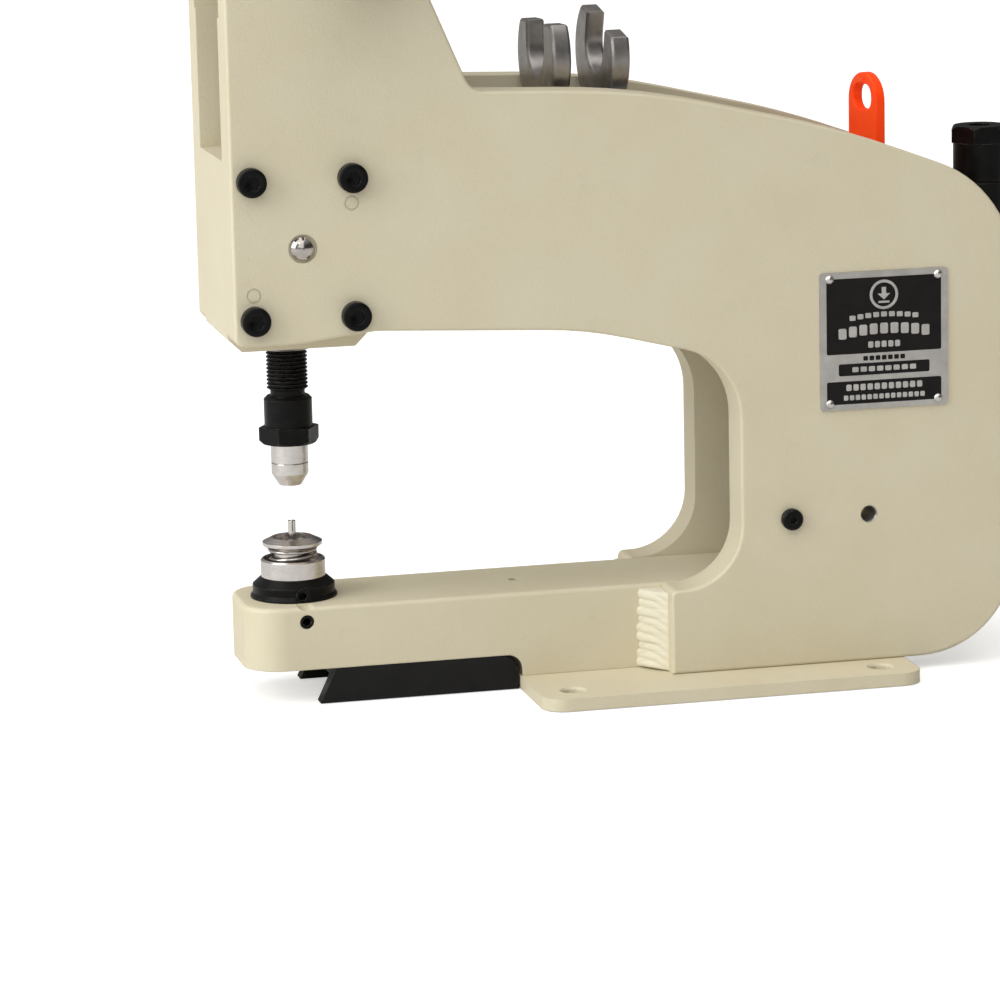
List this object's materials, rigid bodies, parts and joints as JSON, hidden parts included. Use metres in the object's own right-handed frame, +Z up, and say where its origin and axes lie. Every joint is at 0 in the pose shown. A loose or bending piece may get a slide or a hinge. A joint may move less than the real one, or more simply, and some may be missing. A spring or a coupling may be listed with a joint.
{
  "type": "arbor press",
  "caption": "Small bench press: two thick side plates, rack-and-pinion ram with a side lever, sprung setting dies over a deep throat, tools stored between the plates.",
  "frame": {"origin": "centre of the base plate's four bolt holes, on the surface that the press stands on", "axes": "+X back from the operator's side, +Y across from the near (nameplate) side to the far side, +Z up along the ram"},
  "size_m": [0.442, 0.1593, 0.492],
  "materials": {
    "frame_paint": "fine-textured cream powder coat, matt",
    "black_oxide": "black oxide steel, oiled, satin",
    "ground_steel": "ground and polished steel",
    "satin_steel": "satin forged steel",
    "spring_steel": "drawn spring wire, bright",
    "turned_steel": "polished turned steel",
    "zinc_steel": "zinc-plated steel",
    "bronze": "sintered bronze",
    "nameplate_metal": "brushed aluminium printed black",
    "rivet_metal": "bright aluminium",
    "foot_rubber": "hard black rubber",
    "grip_rubber": "ribbed black grip",
    "key_plastic": "moulded orange plastic, satin"
  },
  "bodies": {
    "frame": {"anvil": "turned_steel", "arm_set_screw": "black_oxide", "base_plate": "frame_paint", "bush_lower": "bronze", "bush_upper": "bronze", "collar_set_screw": "black_oxide", "die_cup": "turned_steel", "die_spring": "spring_steel", "dowel_pins": "frame_paint", "foot_screws": "black_oxide", "guide_pin": "turned_steel", "head_block": "frame_paint", "head_screws_far": "black_oxide", "head_screws_near": "black_oxide", "key_shelf": "zinc_steel", "lower_arm": "frame_paint", "nameplate": "nameplate_metal", "nameplate_rivets": "rivet_metal", "rear_spacer": "zinc_steel", "rear_spacer_screws": "black_oxide", "return_spring": "spring_steel", "setting_pin": "turned_steel", "shaft_bush_far": "bronze", "shaft_bush_near": "bronze", "side_plate_far": "frame_paint", "side_plate_near": "frame_paint", "spanner_shelf": "zinc_steel", "support_foot": "foot_rubber", "tool_collar": "black_oxide", "tool_post": "frame_paint", "top_spacer_screws": "black_oxide", "top_spacers": "zinc_steel", "weld_far": "frame_paint", "weld_near": "frame_paint"},
    "ram": {"ram": "ground_steel", "die_adapter": "black_oxide", "upper_die": "turned_steel", "spring_collar": "black_oxide", "spring_collar_screw": "black_oxide"},
    "lever": {"pinion_shaft": "ground_steel", "pinion": "ground_steel", "shaft_collars": "black_oxide", "shaft_washer": "zinc_steel", "shaft_screw": "black_oxide", "lever_hub": "black_oxide", "lever_rod": "zinc_steel", "lever_grip": "grip_rubber", "rod_screw": "black_oxide"},
    "die_sleeve": {"die_sleeve": "turned_steel"},
    "spanner_straight": {"spanner_straight": "satin_steel"},
    "spanner_angled": {"spanner_angled": "satin_steel"},
    "key": {"key_handle": "key_plastic", "key_shank": "satin_steel"},
    "spare_adapter": {"spare_adapter": "black_oxide"}
  },
  "joints": [
    {"name": "lever_turn", "type": "hinge", "parent": "frame", "child": "lever", "pos_m": [-0.1382, 0, 0.3], "axis": [0, -1, 0], "range_deg": [0, 74.4]},
    {"name": "ram_slide", "type": "slide", "parent": "frame", "child": "ram", "axis": [0, 0, -1], "range_m": [0, 0.0195], "stiffness_N_per_m": 1500, "springref_m": -0.04, "deforming": ["return_spring"]},
    {"name": "die_sleeve_slide", "type": "slide", "parent": "frame", "child": "die_sleeve", "axis": [0, 0, -1], "range_m": [0, 0.0035], "stiffness_N_per_m": 2000, "springref_m": -0.002, "deforming": ["die_spring"]},
    {"name": "spanner_straight_lift", "type": "slide", "parent": "frame", "child": "spanner_straight", "axis": [0, 0, 1], "range_m": [0, 0.12]},
    {"name": "spanner_angled_lift", "type": "slide", "parent": "frame", "child": "spanner_angled", "axis": [0, 0, 1], "range_m": [0, 0.12]},
    {"name": "key_lift", "type": "slide", "parent": "frame", "child": "key", "axis": [0, 0, 1], "range_m": [0, 0.08]},
    {"name": "spare_adapter_lift", "type": "slide", "parent": "frame", "child": "spare_adapter", "axis": [0, 0, 1], "range_m": [0, 0.04]}
  ],
  "couplings": [
    {"joint": "ram_slide", "follows": "lever_turn", "m_per_rad": 0.015}
  ]
}
